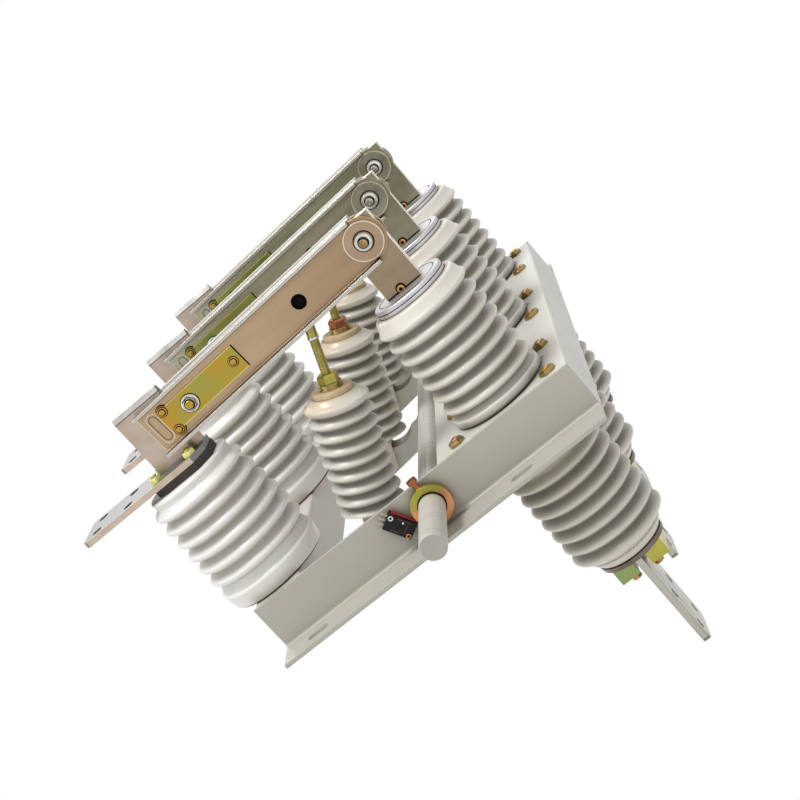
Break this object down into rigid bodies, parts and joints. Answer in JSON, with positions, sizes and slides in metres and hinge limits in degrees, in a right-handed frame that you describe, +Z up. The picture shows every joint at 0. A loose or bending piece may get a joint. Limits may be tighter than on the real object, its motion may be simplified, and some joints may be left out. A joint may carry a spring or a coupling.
{
  "type": "substation disconnect switch",
  "caption": "Knife-blade disconnector on a folded steel frame, with post insulators, through-wall bushings and one rocking shaft that lifts its blades by insulated pull rods.",
  "frame": {"origin": "on the underside of the near mounting flange, midway between its two slots", "axes": "+Z up from the mounting plane to the blades, +X from the jaw ends to the hinge ends along the rails, +Y from the near pole to the far pole"},
  "size_m": [0.458, 0.666, 0.5265],
  "materials": {
    "frame_paint": "satin light grey enamel",
    "shaft_paint": "satin light grey enamel",
    "porcelain": "glossy light grey glaze",
    "terminal_metal": "tin plated copper, satin",
    "blade_copper": "tin plated copper, lightly tarnished",
    "yellow_zinc": "yellow chromated zinc",
    "cap_metal": "bright zinc plated",
    "zinc_steel": "zinc plated",
    "cast_flange": "dull grey",
    "insulating_pad": "black insulating board",
    "switch_case": "black moulding"
  },
  "bodies": {
    "base": {"near_rail": "frame_paint", "far_rail": "frame_paint", "jaw_crossbeam": "frame_paint", "hinge_crossbeam": "frame_paint", "shaft_bearings": "zinc_steel", "limit_switch": "switch_case", "jaw_insulators": "porcelain", "jaw_seats": "insulating_pad", "jaw_contacts": "terminal_metal", "bushing_flanges": "cast_flange", "bushings": "porcelain", "hinge_caps": "cap_metal", "hinge_posts": "blade_copper", "lower_caps": "cap_metal", "lower_terminals": "terminal_metal", "terminal_clamps": "yellow_zinc"},
    "shaft": {"drive_shaft": "shaft_paint", "shaft_collars": "yellow_zinc", "cranks": "frame_paint"},
    "blade_a": {"near_blade_a": "blade_copper", "far_blade_a": "blade_copper", "blade_fittings_a": "blade_copper", "lock_plates_a": "yellow_zinc"},
    "pull_a": {"pull_insulator_a": "porcelain", "pull_eye_a": "yellow_zinc", "pull_rod_a": "yellow_zinc"},
    "blade_b": {"near_blade_b": "blade_copper", "far_blade_b": "blade_copper", "blade_fittings_b": "blade_copper", "lock_plates_b": "yellow_zinc"},
    "pull_b": {"pull_insulator_b": "porcelain", "pull_eye_b": "yellow_zinc", "pull_rod_b": "yellow_zinc"},
    "blade_c": {"near_blade_c": "blade_copper", "far_blade_c": "blade_copper", "blade_fittings_c": "blade_copper", "lock_plates_c": "yellow_zinc"},
    "pull_c": {"pull_insulator_c": "porcelain", "pull_eye_c": "yellow_zinc", "pull_rod_c": "yellow_zinc"}
  },
  "joints": [
    {"name": "shaft_turn", "type": "hinge", "parent": "base", "child": "shaft", "pos_m": [0.0365, 0.2805, 0.028], "axis": [0, 1, 0], "range_deg": [0, 68]},
    {"name": "blade_a_hinge", "type": "hinge", "parent": "base", "child": "blade_a", "pos_m": [0.1375, 0.0805, 0.2425], "axis": [0, 1, 0], "range_deg": [0, 58.2]},
    {"name": "pull_a_pivot", "type": "hinge", "parent": "shaft", "child": "pull_a", "pos_m": [-0.03301, 0.0805, 0.01624], "axis": [0, 1, 0], "range_deg": [-67.4, 0]},
    {"name": "blade_b_hinge", "type": "hinge", "parent": "base", "child": "blade_b", "pos_m": [0.1375, 0.2805, 0.2425], "axis": [0, 1, 0], "range_deg": [0, 58.2]},
    {"name": "pull_b_pivot", "type": "hinge", "parent": "shaft", "child": "pull_b", "pos_m": [-0.03301, 0.2805, 0.01624], "axis": [0, 1, 0], "range_deg": [-67.4, 0]},
    {"name": "blade_c_hinge", "type": "hinge", "parent": "base", "child": "blade_c", "pos_m": [0.1375, 0.4805, 0.2425], "axis": [0, 1, 0], "range_deg": [0, 58.2]},
    {"name": "pull_c_pivot", "type": "hinge", "parent": "shaft", "child": "pull_c", "pos_m": [-0.03301, 0.4805, 0.01624], "axis": [0, 1, 0], "range_deg": [-67.4, 0]}
  ],
  "couplings": [
    {"joint": "blade_a_hinge", "follows": "shaft_turn", "ratio": 0.855},
    {"joint": "pull_a_pivot", "follows": "shaft_turn", "ratio": -0.99},
    {"joint": "blade_b_hinge", "follows": "shaft_turn", "ratio": 0.855},
    {"joint": "pull_b_pivot", "follows": "shaft_turn", "ratio": -0.99},
    {"joint": "blade_c_hinge", "follows": "shaft_turn", "ratio": 0.855},
    {"joint": "pull_c_pivot", "follows": "shaft_turn", "ratio": -0.99}
  ]
}
